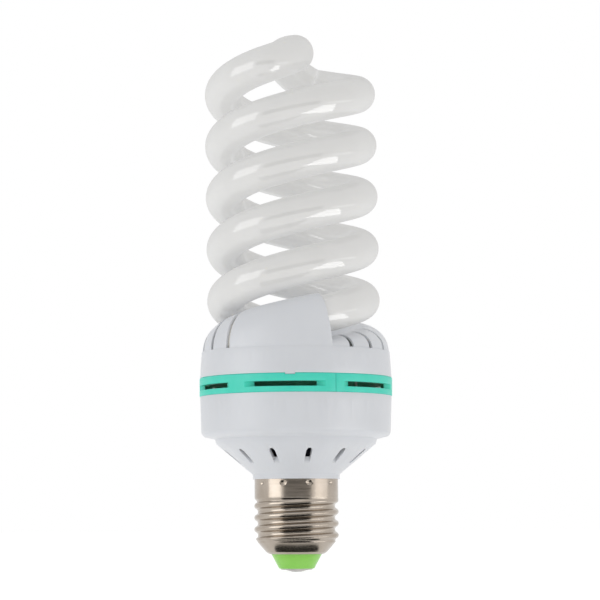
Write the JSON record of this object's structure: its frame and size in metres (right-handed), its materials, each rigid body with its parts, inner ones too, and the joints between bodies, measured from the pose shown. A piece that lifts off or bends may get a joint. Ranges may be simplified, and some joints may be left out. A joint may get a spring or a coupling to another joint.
{
  "type": "spiral energy saving bulb",
  "caption": "Energy saving lamp: spiral white glass tube on a white round housing with a green slotted ring and a metal screw cap.",
  "frame": {"origin": "middle of the flat underside of the centre contact, on the cap's axis", "axes": "+Z along the cap's axis towards the spiral tube; the front of the picture faces -Y, +X to its right"},
  "size_m": [0.06, 0.06, 0.1685],
  "materials": {
    "opal_glass": "glossy, white powder coat inside",
    "white_housing": "smooth moulded, slightly glossy",
    "green_ring": "semi-gloss moulded",
    "nickel_cap": "nickel plated, rolled",
    "insulator_glass": "opaque moulded glass",
    "tinned_contact": "tinned, dull",
    "solder": "dull solder",
    "cement": "matte cement",
    "board_laminate": "paper laminate",
    "capacitor_sleeve": "shrink sleeve",
    "ferrite": "sintered, dark",
    "toroid_coating": "coated ring",
    "black_moulding": "moulded",
    "copper_wire": "enamelled wire",
    "film_coating": "dipped",
    "resistor_coating": "lacquered",
    "fuse_sleeve": "woven glass sleeve",
    "tinned_wire": "tinned"
  },
  "bodies": {
    "root": {"centre_contact": "tinned_contact", "contact_solder": "solder", "base_insulator": "insulator_glass", "screw_shell": "nickel_cap", "lower_housing": "white_housing", "vent_ring": "green_ring", "top_cover": "white_housing", "spiral_tube": "opal_glass", "tube_cement": "cement", "circuit_board": "board_laminate", "smoothing_capacitor": "capacitor_sleeve", "choke_core": "ferrite", "choke_bobbin": "black_moulding", "choke_winding": "copper_wire", "toroid_core": "toroid_coating", "toroid_windings": "copper_wire", "power_transistors": "black_moulding", "resonant_capacitor": "film_coating", "small_capacitors": "film_coating", "rectifier_diodes": "black_moulding", "resistors": "resistor_coating", "trigger_diode": "resistor_coating", "input_choke": "ferrite", "fusible_resistor": "fuse_sleeve", "shell_lead": "tinned_wire", "wrap_pins": "tinned_wire", "filament_leads": "tinned_wire"}
  },
  "joints": []
}
